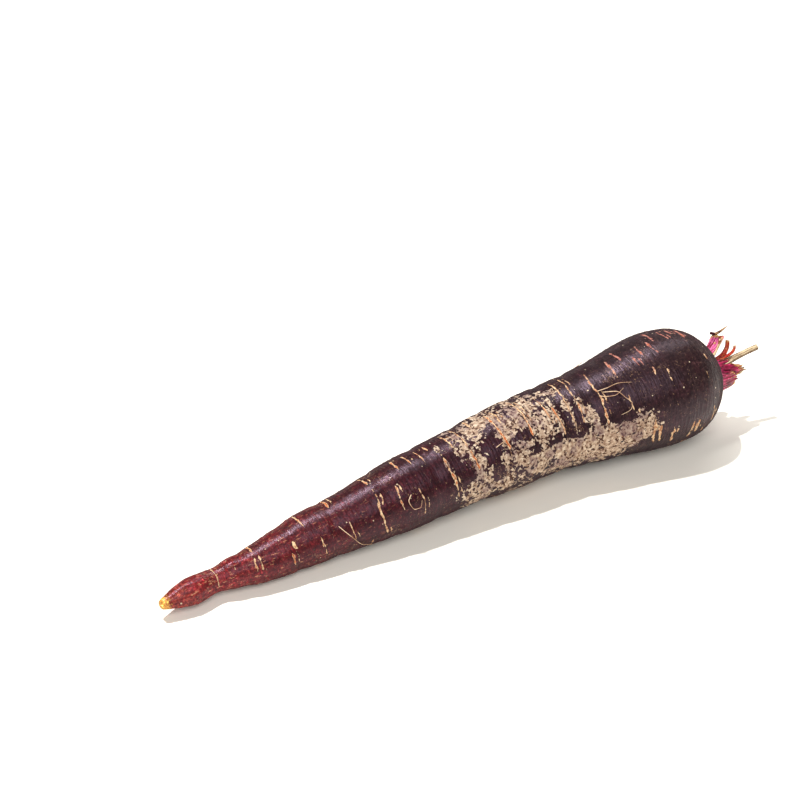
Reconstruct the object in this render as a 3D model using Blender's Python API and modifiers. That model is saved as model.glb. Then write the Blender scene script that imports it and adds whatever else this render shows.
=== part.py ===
"""A dark purple carrot, pulled and trimmed, lying on its side.

The taproot lies along +X with its thin end at -X and its crown at +X. It rests on z = 0, and the
origin is under the middle of the object's bounding box. The stubs of the cut leaves stand on a
small flat plate in the dimple of the crown, and hair-thin rootlets lie along the skin.
All driving sizes are in millimetres and become metres where a point is placed.
"""

import math

import bmesh
import bpy
from mathutils import Matrix, Vector, noise

MM = 0.001
GAP = 0.32  # kept between neighbouring pieces

# The taproot, from the snapped thin end to the middle of the crown plate: (distance along, radius).
OUTLINE = [
    (0, 0),
    (0, 1.1),
    (3, 2.5),
    (7.5, 3.8),
    (12, 4.5),
    (20, 4.0),
    (28, 5.7),
    (44, 8.0),
    (56, 9.2),
    (70, 10.2),
    (88, 12.2),
    (100, 13.0),
    (116, 13.7),
    (136, 15.4),
    (155, 16.0),
    (170, 17.4),
    (186, 19.4),
    (196, 21.2),
    (205, 22.0),
    (213, 21.5),
    (219.5, 19.4),
    (224.5, 15.8),
    (227.5, 12.4),
    (228.9, 10.4),
    (229.1, 9.8),
    (228.7, 9.3),
    (228.7, 0),
]
CROWN_RIM = (229.1, 9.8)
PLATE_AT = 228.7
CENTRE_HEIGHT = [(0, 5.4), (12, 5.7), (20, 5.7), (28, 6.6), (44, 7.7), (56, 9.1), (70, 10.7), (88, 13.1),
                 (106, 14.6), (126, 16.1), (155, 17.8), (175, 19.4), (195, 21.0), (206, 21.6), (228, 21.4)]
CENTRE_SWAY = [(0, -1.2), (12, 0.1), (20, 1.2), (36, 0.1), (56, 1.0), (80, 0.7), (105, 1.6), (155, 3.1),
               (175, 1.2), (195, 0.1), (228, -1.4)]
SLOPE_STEP = 2.0  # how far either side of a section the root's direction is taken from
SIDES = 44
RINGS = 96
RING_CROWDING = 0.1  # how much closer the rings stand at the two ends
LUMP_HEIGHT = 0.45
LUMP_LENGTH = 26.0
LUMPS_FROM_RADIUS = 6.0  # the lumps fade out where the root is thinner than this
RING_FURROWS = [30, 48, 63, 84, 102, 121, 133, 146, 158, 169, 181]  # distances of the ring-shaped furrows
FURROW_DEPTH = 0.35
FURROW_WIDTH = 2.2

LEAF_CURL = 0.25  # how far a leaf base waves in and out across its width
LEAF_ROUNDING = 0.35  # how much of its height a leaf base loses towards its two sides
LEAF_NARROWING = 0.35  # how much of its width a leaf base loses towards its torn edge
LEAF_THINNING = 0.6  # how much of its thickness it loses on the way
TEARS_ACROSS = 3.1  # how many tears there are across a leaf base
STALK_SIDES = 20
STUB_SIDES = 14
STUB_SLANT = 0.3  # how steeply a stub is cut
STUB_STEP = 0.05  # the share of a stub either side of a section that its direction is taken from
ROOTLET_RADIUS = 0.17
ROOTLET_POINTS = 12

COLOURS = {
    "skin": (0.035, 0.012, 0.022),
    "leaf_base": (0.42, 0.03, 0.13),
    "pink_leaf_base": (0.75, 0.16, 0.33),
    "red_stub": (0.45, 0.06, 0.03),
    "dry_stalk": (0.62, 0.42, 0.2),
    "dry_scale": (0.1, 0.01, 0.02),
    "rootlet": (0.5, 0.33, 0.15),
}
ROUGHNESS = {"skin": 0.45, "leaf_base": 0.4, "pink_leaf_base": 0.35, "red_stub": 0.5}
DRY_ROUGHNESS = 0.8


def through(points, x):
    """Height at x of a smooth curve through (x, height) points, which never overshoots them."""
    if x <= points[0][0]:
        return points[0][1]
    if x >= points[-1][0]:
        return points[-1][1]
    slopes = [(b[1] - a[1]) / (b[0] - a[0]) for a, b in zip(points, points[1:])]
    tangents = [slopes[0]]
    for before, after in zip(slopes, slopes[1:]):
        same_way = before * after > 0
        tangents.append(2 * before * after / (before + after) if same_way else 0.0)
    tangents.append(slopes[-1])
    i = next(k for k in range(len(points) - 1) if x <= points[k + 1][0])
    (x0, y0), (x1, y1) = points[i], points[i + 1]
    span = x1 - x0
    t = (x - x0) / span
    start = (1 + 2 * t) * (1 - t) ** 2 * y0 + t * (1 - t) ** 2 * span * tangents[i]
    end = t * t * (3 - 2 * t) * y1 + t * t * (t - 1) * span * tangents[i + 1]
    return start + end


def run_along(points):
    """The length walked from the first point to each point of an outline."""
    walked = [0.0]
    for a, b in zip(points, points[1:]):
        walked.append(walked[-1] + math.dist(a, b))
    return walked


WALKED = run_along(OUTLINE)
ALONG_BY_WALK = [(w, point[0]) for w, point in zip(WALKED, OUTLINE)]
RADIUS_BY_WALK = [(w, point[1]) for w, point in zip(WALKED, OUTLINE)]
SIDE_OUTLINE = OUTLINE[1 : OUTLINE.index(CROWN_RIM)]


def centre(along):
    return Vector((along, through(CENTRE_SWAY, along), through(CENTRE_HEIGHT, along)))


def section_frame(along):
    """The centre of the root's section there, and its outward, sideways and upward directions."""
    low = max(0.0, along - SLOPE_STEP)
    high = min(PLATE_AT, along + SLOPE_STEP)
    forward = (centre(high) - centre(low)).normalized()
    side = forward.cross(Vector((0, 0, 1))).normalized()
    return centre(along), forward, side, side.cross(forward)


def furrow(along):
    """How deep the nearest ring-shaped furrow presses into the skin."""
    away = min(abs(along - place) for place in RING_FURROWS)
    return FURROW_DEPTH * math.exp(-((away / FURROW_WIDTH) ** 2))


def skin_point(along, radius, angle):
    """A point of the skin. The angle turns from the top (0) over the -Y side (90 degrees)."""
    middle, _, side, up = section_frame(along)
    out = side * math.sin(angle) + up * math.cos(angle)
    lump = LUMP_HEIGHT * noise.noise((middle + out * radius) / LUMP_LENGTH)
    fade = min(1.0, radius / LUMPS_FROM_RADIUS)
    point = middle + out * (radius + (lump - furrow(along)) * fade)
    point.z = max(0.0, point.z)
    return point


def over_skin(along, degrees, height):
    """A point at a height above the root's side."""
    radius = through(SIDE_OUTLINE, along)
    return skin_point(along, radius + height, math.radians(degrees))


def material(kind):
    made = bpy.data.materials.get(kind)
    if made:
        return made
    made = bpy.data.materials.new(kind)
    made.use_nodes = True
    shader = made.node_tree.nodes["Principled BSDF"]
    shader.inputs["Base Color"].default_value = (*COLOURS[kind], 1)
    shader.inputs["Roughness"].default_value = ROUGHNESS.get(kind, DRY_ROUGHNESS)
    shader.inputs["Metallic"].default_value = 0.0
    return made


def add_object(name, data, kind, parent):
    piece = bpy.data.objects.new(name, data)
    data.materials.append(material(kind))
    bpy.data.collections["carrot"].objects.link(piece)
    piece.parent = parent
    return piece


def mesh_from(name, shape):
    data = bpy.data.meshes.new(name)
    shape.to_mesh(data)
    shape.free()
    data.shade_smooth()
    return data


def add_taproot(parent):
    """A UV sphere whose rings are drawn out along the root's outline."""
    shape = bmesh.new()
    bmesh.ops.create_uvsphere(shape, u_segments=SIDES, v_segments=RINGS, radius=1)
    for vertex in shape.verts:
        share = math.acos(max(-1.0, min(1.0, -vertex.co.z))) / math.pi
        share -= RING_CROWDING * math.sin(2 * math.pi * share)
        walk = share * WALKED[-1]
        along = through(ALONG_BY_WALK, walk)
        radius = through(RADIUS_BY_WALK, walk)
        angle = math.atan2(vertex.co.y, vertex.co.x)
        vertex.co = skin_point(along, radius, angle) * MM
    bmesh.ops.recalc_face_normals(shape, faces=shape.faces)
    add_object("taproot", mesh_from("taproot", shape), "skin", parent)


def add_crown(parent):
    """An empty on the middle of the crown plate, whose +X points out of the crown."""
    middle, forward, side, up = section_frame(PLATE_AT)
    crown = bpy.data.objects.new("crown", None)
    bpy.data.collections["carrot"].objects.link(crown)
    crown.parent = parent
    turn = Matrix((forward, -side, up)).transposed().to_4x4()
    crown.matrix_local = Matrix.Translation(middle * MM) @ turn
    return crown


def crown_point(out, radius, degrees):
    """A point in the crown's own frame: 0 degrees is up, 90 degrees is on the -Y side."""
    angle = math.radians(degrees)
    return Vector((out, -radius * math.sin(angle), radius * math.cos(angle)))


def add_leaf_base(name, kind, crown, at, radius, half_width, height, shift, thickness, tear):
    """The clasping base of a leaf: a curved plate that stands on the crown, with a torn upper edge.

    It stands at degrees and a radius round the crown's middle, and half_width is in degrees too.
    shift is how far the upper edge leans over, as (y, z), and tear how uneven it is.
    """
    across, upward = 14, 8
    shape = bmesh.new()
    bmesh.ops.create_grid(shape, x_segments=across, y_segments=upward, size=1)
    for vertex in shape.verts:
        u, v = vertex.co.x, (vertex.co.y + 1) / 2
        ragged = noise.noise(Vector((u * TEARS_ACROSS, at, radius)))
        top = height * (1 - LEAF_ROUNDING * u * u) + tear * ragged
        curled_radius = radius + LEAF_CURL * math.sin(3 * u + at)
        turned = at + half_width * (1 - LEAF_NARROWING * v) * u
        stood = crown_point(GAP + v * top, curled_radius, turned)
        vertex.co = (stood + Vector((0, *shift)) * v * v) * MM
    piece = add_object(name, mesh_from(name, shape), kind, crown)
    thin_edge = piece.vertex_groups.new(name="thickness")
    for index in range(len(piece.data.vertices)):
        v = (index // (across + 1)) / upward
        thin_edge.add([index], 1 - LEAF_THINNING * v, "REPLACE")
    solid = piece.modifiers.new("solid", "SOLIDIFY")
    solid.thickness = thickness * MM
    solid.offset = 0
    solid.vertex_group = "thickness"
    solid.thickness_vertex_group = 0.2


def add_strand(name, kind, points, radius, parent, thin_end=0.4, resolution=1):
    """A hair-like strand along a list of points in millimetres, thinner towards its free end."""
    curve = bpy.data.curves.new(name, "CURVE")
    curve.dimensions = "3D"
    curve.bevel_depth = radius * MM
    curve.bevel_resolution = resolution
    curve.use_fill_caps = True
    spline = curve.splines.new("POLY")
    spline.points.add(len(points) - 1)
    for i, (target, point) in enumerate(zip(spline.points, points)):
        target.co = (*(point * MM), 1)
        target.radius = 1 - (1 - thin_end) * i / (len(points) - 1)
    add_object(name, curve, kind, parent)


def smooth_route(stops, count):
    """count points along a smooth curve through a few stops."""
    walked = run_along(stops)
    axes = [[(w, stop[axis]) for w, stop in zip(walked, stops)] for axis in range(3)]
    spots = [walked[-1] * i / (count - 1) for i in range(count)]
    return [Vector([through(axis, spot) for axis in axes]) for spot in spots]


def loft(name, rings):
    """A closed body through rings of equal point counts, for sections that are unlike each other."""
    shape = bmesh.new()
    loops = [[shape.verts.new(point * MM) for point in ring] for ring in rings]
    for lower, upper in zip(loops, loops[1:]):
        for i in range(len(lower)):
            j = (i + 1) % len(lower)
            shape.faces.new((lower[i], lower[j], upper[j], upper[i]))
    shape.faces.new(reversed(loops[0]))
    shape.faces.new(loops[-1])
    bmesh.ops.recalc_face_normals(shape, faces=shape.faces)
    return mesh_from(name, shape)


def stalk_ring(middle, half_width, half_depth, rib):
    """A ribbed oval section of the dry stalk, square to the crown's +X."""
    ring = []
    for i in range(STALK_SIDES):
        angle = 2 * math.pi * i / STALK_SIDES
        ribbed = 1 - rib * (i % 2)
        side = half_width * ribbed * math.cos(angle)
        ring.append(middle + Vector((0, side, half_depth * ribbed * math.sin(angle))))
    return ring


def add_dry_stalk(crown):
    """The dried leaf stalk: a flared foot, a ribbed stalk and a hollow cut end."""
    base = Vector((GAP, -1.6, 1.4))
    bend = Vector((12.0, -2.4, 5.4))
    tip = Vector((22.6, -3.4, 7.5))
    # share of the length, half width, half depth, rib depth
    outside = [(0, 1.9, 1.4, 0.04), (0.2, 1.9, 1.3, 0.1), (0.4, 1.7, 1.3, 0.15), (0.54, 1.4, 1.25, 0.18),
               (0.75, 1.2, 1.15, 0.18), (0.93, 1.2, 1.15, 0.16), (1, 1.3, 1.2, 0.12)]
    inside = [(1, 0.8, 0.75, 0.1), (0.93, 0.6, 0.55, 0.1), (0.88, 0.4, 0.4, 0.0)]
    rings = []
    for share, *section in outside + inside:
        middle = base.lerp(bend, share).lerp(bend.lerp(tip, share), share)
        rings.append(stalk_ring(middle, *section))
    add_object("dry_stalk", loft("dry_stalk", rings), "dry_stalk", crown)


def add_stub(name, kind, crown, at, radius, half_width, half_depth, height, shift):
    """A short fleshy stub of a cut leaf stalk, which grows outwards and then bends over by shift, as (y, z)."""

    def spine(share):
        foot = crown_point(GAP + height * (1 - (1 - share) ** 2), radius, at)
        return foot + Vector((0, *shift)) * share**2.5

    rings = []
    for share, wide in ((0, 1.0), (0.2, 1.0), (0.4, 1.0), (0.6, 0.95), (0.8, 0.85), (0.92, 0.75), (1, 0.55)):
        forward = spine(min(1.0, share + STUB_STEP)) - spine(max(0.0, share - STUB_STEP))
        forward.normalize()
        sideways = forward.cross(crown_point(0, 1, at)).normalized()
        outward = sideways.cross(forward)
        ring = []
        for i in range(STUB_SIDES):
            angle = 2 * math.pi * i / STUB_SIDES
            slant = STUB_SLANT * half_width * math.cos(angle + at) if share == 1 else 0.0
            across = sideways * (half_width * wide * math.cos(angle))
            deep = outward * (half_depth * wide * math.sin(angle))
            ring.append(spine(share) + across + deep + forward * slant)
        rings.append(ring)
    add_object(name, loft(name, rings), kind, crown)


def add_leaves(crown):
    add_leaf_base("leaf_base_front", "leaf_base", crown, 112, 8.1, 54, 10.8, (0.8, 1.2), 1.2, 1.5)
    add_leaf_base("leaf_base_inner", "leaf_base", crown, 78, 6.0, 46, 13.4, (-0.4, 0.8), 0.8, 1.8)
    add_leaf_base("leaf_base_side", "leaf_base", crown, 38, 8.0, 12, 6.4, (-0.2, 0.6), 1.0, 0.8)
    add_leaf_base("leaf_base_upper", "pink_leaf_base", crown, 356, 7.9, 22, 9.4, (2.0, 5.2), 1.1, 1.2)
    add_leaf_base("leaf_base_back", "leaf_base", crown, 304, 8.2, 26, 8.6, (2.0, 1.0), 1.1, 1.8)
    add_leaf_base("leaf_base_low", "leaf_base", crown, 232, 8.2, 36, 8.0, (0.6, 0.0), 1.2, 1.8)
    add_leaf_base("leaf_base_under", "leaf_base", crown, 178, 6.2, 32, 8.4, (0.2, 0.8), 1.0, 1.6)
    add_leaf_base("leaf_base_far", "pink_leaf_base", crown, 268, 6.2, 34, 9.6, (0.6, 0.0), 0.9, 1.6)
    add_stub("leaf_stub_red", "red_stub", crown, 330, 3.5, 1.4, 1.1, 12.8, (1.2, 7.0))
    add_stub("leaf_stub_thin", "red_stub", crown, 17, 6.3, 0.7, 0.45, 13.4, (1.4, 3.2))
    add_stub("leaf_stub_middle", "leaf_base", crown, 250, 2.8, 1.6, 1.0, 7.0, (0.4, 0.0))
    add_stub("leaf_stub_back", "red_stub", crown, 319, 6.1, 1.1, 0.7, 8.6, (1.0, 1.2))
    add_dry_stalk(crown)


def add_scales(crown):
    long_stops = [(6.4, 5.2, 10.6), (8.0, 5.2, 12.6), (10.6, 4.8, 13.8), (14.2, 5.0, 15.2)]
    short_stops = [(5.6, 5.0, 14.2), (6.8, 4.2, 14.0), (8.2, 3.0, 14.4)]
    add_strand("dry_scale_long", "dry_scale", smooth_route(long_stops, 9), 0.5, crown, 0.3)
    add_strand("dry_scale_short", "dry_scale", smooth_route(short_stops, 7), 0.45, crown, 0.6)


def add_rootlets(parent):
    """Each rootlet is a few stops on the skin: distance along, degrees round, height above the skin."""
    routes = {
        "rootlet_shoulder_long": [(172.8, 30, 0.6), (176, 31, 0.9), (181.3, 31, 1.0), (185.6, 36, 0.7)],
        "rootlet_shoulder_short": [(172.6, 36, 0.6), (175, 40, 0.6), (178, 42, 0.6), (182, 38, 0.6)],
        "rootlet_shoulder_loop": [(174.2, 33.5, 0.7), (178.4, 39, 1.5), (181, 49, 1.2), (182.6, 57, 1.0),
                                  (181.4, 63, 0.8), (177.5, 65, 0.6)],
        "rootlet_shoulder_back": [(176, 302, 0.6), (182, 314, 1.0), (189, 318, 0.9)],
        "rootlet_middle_hook": [(90.2, 56, 0.6), (88.6, 64, 0.8), (90, 80, 0.9), (92, 81, 0.8), (93.3, 71, 0.6)],
        "rootlet_middle_short": [(126.2, 46, 0.6), (128.6, 44, 0.8), (131, 42, 0.6)],
        "rootlet_middle_back": [(112, 268, 0.6), (107, 282, 0.9), (104, 300, 0.7)],
        "rootlet_thin_end_fork": [(63.8, 53, 0.6), (66.8, 81, 0.8), (70.2, 108, 0.8), (74.4, 125, 0.6)],
        "rootlet_thin_end_back": [(48, 300, 0.6), (53, 290, 0.8), (58, 284, 0.8)],
    }
    for name, stops in routes.items():
        points = smooth_route([over_skin(*stop) for stop in stops], ROOTLET_POINTS)
        add_strand(name, "rootlet", points, ROOTLET_RADIUS, parent)


def centre_over_origin(holder):
    """Moves the whole object so that its bounding box stands centred on the origin."""
    bpy.context.view_layer.update()
    graph = bpy.context.evaluated_depsgraph_get()
    corners = []
    for piece in bpy.data.collections["carrot"].objects:
        if piece.type == "EMPTY":
            continue
        solid = piece.evaluated_get(graph)
        mesh = solid.to_mesh()
        corners += [solid.matrix_world @ vertex.co for vertex in mesh.vertices]
        solid.to_mesh_clear()
    low = [min(corner[axis] for corner in corners) for axis in range(3)]
    high = [max(corner[axis] for corner in corners) for axis in range(3)]
    holder.location = (-(low[0] + high[0]) / 2, -(low[1] + high[1]) / 2, -low[2])
    bpy.context.view_layer.update()


def main():
    for old in list(bpy.data.objects):
        bpy.data.objects.remove(old)
    collection = bpy.data.collections.new("carrot")
    bpy.context.scene.collection.children.link(collection)
    holder = bpy.data.objects.new("carrot", None)
    collection.objects.link(holder)
    add_taproot(holder)
    crown = add_crown(holder)
    add_leaves(crown)
    add_scales(crown)
    add_rootlets(holder)
    centre_over_origin(holder)


main()
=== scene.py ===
"""Looks of the dark purple carrot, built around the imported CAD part.

The root is drawn again as a fine mesh over the CAD taproot, with its ring scars, russet skin and
wrinkles in the mesh, and with its colours in a node material that reads what each point is.
Distances along the root run from its thin end (0) to the crown, in millimetres. Angles round it
are in degrees, from the top (0) over the -Y side (90).
"""

import math

import bpy
import numpy as np
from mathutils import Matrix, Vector, noise


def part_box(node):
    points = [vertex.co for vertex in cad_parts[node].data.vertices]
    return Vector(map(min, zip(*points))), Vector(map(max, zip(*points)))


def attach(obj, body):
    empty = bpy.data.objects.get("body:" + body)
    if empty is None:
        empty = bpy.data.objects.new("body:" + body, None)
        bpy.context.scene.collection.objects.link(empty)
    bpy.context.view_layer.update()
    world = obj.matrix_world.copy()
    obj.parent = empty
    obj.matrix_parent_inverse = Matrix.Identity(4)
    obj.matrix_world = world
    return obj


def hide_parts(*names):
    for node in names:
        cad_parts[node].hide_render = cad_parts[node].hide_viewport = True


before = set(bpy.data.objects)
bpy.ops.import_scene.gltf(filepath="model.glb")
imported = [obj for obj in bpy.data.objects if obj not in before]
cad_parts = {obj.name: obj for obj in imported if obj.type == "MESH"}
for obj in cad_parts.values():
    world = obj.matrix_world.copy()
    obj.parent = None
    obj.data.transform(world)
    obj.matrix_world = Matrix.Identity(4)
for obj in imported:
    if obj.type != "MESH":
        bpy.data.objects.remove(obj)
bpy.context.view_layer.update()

MM = 0.001


def srgb(red, green, blue):
    """A colour given as it looks on screen, 0 to 255, as the linear values that Blender takes."""
    shares = [value / 255 for value in (red, green, blue)]
    return tuple(s / 12.92 if s <= 0.04045 else ((s + 0.055) / 1.055) ** 2.4 for s in shares)


# The root's outline and centre line are those of the CAD taproot.
OUTLINE = [
    (0, 0), (0, 1.1), (3, 2.5), (7.5, 3.8), (12, 4.5), (20, 4.0), (28, 5.7), (44, 8.0), (56, 9.2),
    (70, 10.2), (88, 12.2), (100, 13.0), (116, 13.7), (136, 15.4), (155, 16.0), (170, 17.4),
    (186, 19.4), (196, 21.2), (205, 22.0), (213, 21.5), (219.5, 19.4), (224.5, 15.8), (227.5, 12.4),
    (228.9, 10.4), (229.1, 9.8), (228.7, 9.3), (228.7, 0),
]
CROWN_RIM = (229.1, 9.8)
PLATE_AT = 228.7
CENTRE_HEIGHT = [
    (0, 5.4), (12, 5.7), (20, 5.7), (28, 6.6), (44, 7.7), (56, 9.1), (70, 10.7), (88, 13.1),
    (106, 14.6), (126, 16.1), (155, 17.8), (175, 19.4), (195, 21.0), (206, 21.6), (228, 21.4),
]
CENTRE_SWAY = [
    (0, -1.2), (12, 0.1), (20, 1.2), (36, 0.1), (56, 1.0), (80, 0.7), (105, 1.6), (155, 3.1),
    (175, 1.2), (195, 0.1), (228, -1.4),
]
SLOPE_STEP = 2.0
LUMP_HEIGHT, LUMP_LENGTH, LUMPS_FROM_RADIUS = 0.45, 26.0, 6.0
RING_FURROWS = [30, 48, 63, 84, 102, 121, 133, 146, 158, 169, 181]
FURROW_DEPTH, FURROW_WIDTH = 0.35, 2.2

ROWS = 860  # along the root
COLUMNS = 116  # round the root

# Ring scars: distance along, degrees where it starts and ends, width in mm, how open it is (0 to 1).
SCARS = [
    # The thin end.
    (20.3, -30, 112, 0.6, 0.3), (27.2, 28, 52, 0.4, 0.3), (33.9, -34, 12, 0.8, 0.8),
    (33.4, 24, 82, 0.4, 0.5), (45.3, 54, 98, 0.8, 1.0), (47.2, 34, 58, 1.0, 0.1),
    (53.5, -34, 26, 0.8, 0.8), (56.6, 52, 82, 0.8, 0.6), (57.4, 76, 104, 0.4, 0.4),
    (64.3, -38, 12, 0.9, 0.9), (68.0, 46, 98, 0.5, 0.4), (79.4, 12, 116, 0.6, 0.4),
    (79.2, 40, 76, 0.8, 0.7), (79.7, -34, 8, 0.8, 0.8), (86.6, 26, 78, 0.6, 0.6),
    # The middle.
    (93.9, 44, 100, 0.6, 0.5), (91.7, -26, 14, 0.8, 0.8), (96.3, -22, 18, 0.6, 0.8),
    (101.2, -18, 22, 0.7, 0.8), (103.4, -16, -6, 0.6, 0.2), (104.9, -16, 5, 0.8, 0.7),
    (107.6, 12, 100, 0.9, 0.6), (112.6, -26, 22, 0.8, 0.6), (117.5, -30, 70, 0.6, 0.3),
    (117.9, 30, 68, 1.0, 1.0), (124.0, -34, 4, 0.8, 0.5), (130.8, -26, 70, 0.8, 0.7),
    (131.2, 24, 60, 1.0, 1.0), (133.6, -26, 20, 0.6, 0.4), (141.8, -20, 62, 0.6, 0.5),
    (141.6, 18, 54, 0.9, 1.0), (150.8, -2, 50, 0.8, 0.7), (154.2, 24, 72, 0.8, 0.6),
    (154.0, 24, 42, 1.2, 1.0), (160.6, -30, 70, 0.6, 0.5), (164.4, -30, 70, 0.6, 0.5),
    # The top of the shoulder.
    (172.6, -6, 84, 0.9, 0.7), (183.0, -8, 26, 0.9, 0.45), (187.9, -16, 10, 0.9, 0.45),
    (191.4, 8, 24, 0.6, 0.4), (195.6, -6, 14, 0.8, 0.45), (200.6, -6, 18, 1.1, 0.45),
    (203.0, -22, 2, 0.9, 0.45), (207.2, -14, 8, 1.1, 0.45), (210.6, -14, 2, 0.9, 0.45),
    (214.0, -10, 14, 1.4, 0.6),
    # Low on the shoulder's near side.
    (190.0, 80, 116, 1.5, 0.45), (192.5, 90, 118, 1.4, 0.45), (197.9, 98, 122, 1.1, 0.5),
    (206.8, 98, 124, 1.4, 0.5), (209.2, 98, 118, 1.3, 0.5), (213.2, 108, 123, 1.0, 0.5),
    (217.0, 88, 114, 0.7, 0.2),
    # Small closed marks between them.
    (183.0, 45, 72, 0.4, 0.3), (195.0, 30, 38, 0.8, 0.0), (199.9, 35, 52, 0.9, 0.0),
    (214.8, 51, 60, 0.5, 0.0), (217.5, 31, 40, 0.7, 0.0),
]
# Seeded scars on the side that the list leaves out. Each pair is a range.
FAR_SIDE_SCARS, FAR_SIDE_SEED = 46, 11
FAR_SIDE_ALONG, FAR_SIDE_JITTER = (24, 216), 1.5
FAR_SIDE_MIDDLE, FAR_SIDE_HALF = (135, 315), (8, 40)  # degrees
FAR_SIDE_WIDTH, FAR_SIDE_OPEN = (0.4, 1.0), (0.3, 1.0)
SCAR_WANDER, FINE_WANDER = 0.8, 0.4
SCAR_SHARE, LIP_SHARE, SLIT_SHARE = 0.74, 0.7, 0.42  # how much of its stated width each one takes
SCAR_END_SHARE, SCAR_LEAST_SHARE, SCAR_RAGGEDNESS = 0.3, 0.2, 0.7
SCAR_END_STEEPNESS = 1.6
HAIRLINE_AWAY, HAIRLINE_WIDTH, HAIRLINE_STRENGTH = 1.4, 0.3, 0.8  # the thin second line beside a scar

# Russet patches, and the dark windows in them: distance along, degrees, half length in mm, half turn
# in degrees, strength.
PATCHES = [
    (107.5, 50, 1.0, 50, 0.5), (116, 20, 3, 34, 0.8), (117, 52, 4, 20, 0.8), (123, 4, 6, 20, 0.9),
    (118, 100, 6, 24, 0.9), (125, 96, 6, 14, 0.6), (132, 20, 5, 46, 1.0), (136, 60, 8, 30, 0.9),
    (131, 84, 7, 12, 0.7), (143, 30, 6, 46, 1.0), (138, 26, 7, 26, 1.0), (148, 50, 6, 24, 0.9),
    (128, 98, 8, 14, 0.8), (162, 92, 12, 18, 1.7), (144, 86, 8, 16, 1.2), (151, 14, 5, 26, 0.5),
    (139, 100, 4, 22, 0.5), (157, 0, 4, 10, 0.5), (156, 96, 9, 22, 1.4), (170, 94, 9, 22, 1.7),
    (182, 86, 6, 14, 1.5), (168, 60, 3, 22, 0.9), (154, 46, 1.8, 24, 1.0), (160.4, 54, 1.2, 22, 1.7),
    (159, 42, 4, 12, 0.55), (165.5, 56, 2.0, 20, 0.9), (116, 62, 3, 14, 0.7), (174, 74, 4, 12, 0.8),
    (146, -16, 4, 10, 0.5), (149, 106, 4, 16, 0.7), (123, -14, 5, 14, 0.4),
]
FAR_SIDE_PATCHES = [
    (38, 200, 6, 24, 0.8), (70, 250, 9, 26, 0.8), (98, 190, 8, 30, 0.9), (126, 262, 12, 34, 1.0),
    (142, 178, 14, 34, 1.0), (166, 228, 12, 28, 0.9), (186, 290, 8, 22, 0.7), (200, 180, 7, 20, 0.6),
]
WINDOWS = [
    (112, 66, 3, 8, 0.7), (126.5, 44, 1.8, 10, 0.9), (138, 48, 3, 8, 0.9), (141, 70, 2, 9, 0.6),
    (151, 65, 2, 6, 0.6), (158, 60, 2, 13, 1.5), (162.5, 64, 1.5, 13, 1.5), (176, 50, 5, 18, 1.2),
    (148, 96, 2, 8, 0.6), (125, 84, 2.5, 9, 0.5),
]
PATCH_FALL = 0.6  # how fast a patch fades away from its middle

# Relief of the skin, in mm.
LIP_HEIGHT, SLIT_DEPTH, RUSSET_HEIGHT = 0.12, 0.4, 0.1
WRINKLE_HEIGHT, FINE_RING_HEIGHT = 0.22, 0.05
WRINKLES_UNTIL, WRINKLES_FADE = 34, 20
RELIEF_UNTIL, RELIEF_FADE = 226, 4
RELIEF_FROM_RADIUS, RELIEF_RADIUS_FADE = 1.5, 3
FLAKE_RAGGEDNESS, FLAKE_LEVEL, FLAKE_STEEPNESS = 1.2, 0.4, 4
# How finely its noises vary: along the root, sideways and up.
WANDER_SCALE, FINE_WANDER_SCALE = (0.1, 0.14, 0.14), (0.3, 0.5, 0.5)
RAGGED_SCALE, FLAKE_SCALE = (0.3, 0.55, 0.55), (0.7, 0.7, 0.7)
WRINKLE_SCALE, FINE_RING_SCALE = (0.06, 0.9, 0.9), (1.1, 0.12, 0.12)

# Colours of the skin, by share of the root's length, and of the cork, by the level of its noise.
ROOT_LENGTH = 229.0
SKIN_TONES = [
    (0.0, srgb(106, 34, 27)), (0.05, srgb(98, 26, 25)), (0.13, srgb(85, 20, 20)),
    (0.22, srgb(63, 15, 16)), (0.36, srgb(42, 11, 14)), (0.5, srgb(36, 13, 16)),
    (0.68, srgb(32, 15, 17)), (0.85, srgb(34, 20, 21)), (1.0, srgb(40, 25, 24)),
]
CORK_TONES = [
    (0.34, srgb(104, 78, 60)), (0.42, srgb(146, 119, 98)), (0.52, srgb(170, 146, 124)),
    (0.64, srgb(206, 186, 162)),
]
CORK_PIT, CORK_FILM = srgb(70, 46, 34), srgb(104, 80, 84)
YELLOW_FLESH = srgb(206, 146, 66)
SCRATCH, CRUMB, DOT = srgb(172, 116, 86), srgb(124, 97, 74), srgb(196, 178, 150)
STRAW_LIP = srgb(160, 110, 76), srgb(220, 190, 150)
PINK_LIP = srgb(120, 62, 58), srgb(178, 114, 102)
ORANGE_SLIT = srgb(176, 92, 46)
SKIN_SHINE, SKIN_SHINE_TINT = 0.28, (0.96, 0.68, 0.88)
FRESH_ROUGHNESS, MOTTLE_ROUGHNESS, GRAZING_ROUGHNESS = 0.17, 0.3, 0.5
CORK_ROUGHNESS, LIP_ROUGHNESS = 0.85, 0.7

# Where the looks of the skin change, in mm: each pair is where the change starts and ends.
FLESH_SHOWS = (2.8, 1.0)
SCUFFS_SHOW = (110.0, 10.0)
LIPS_TURN_PINK, PINK_ABOVE_AXIS = (150.0, 190.0), (16.0, 19.5)
# Directions of the fibres, as turns in radians, and how rare they are in each.
FIBRES = [((0.4, 0.9, 0.2), 0.71), ((1.2, -0.5, 0.7), 0.72), ((0.0, 0.25, -1.1), 0.72)]

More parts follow.
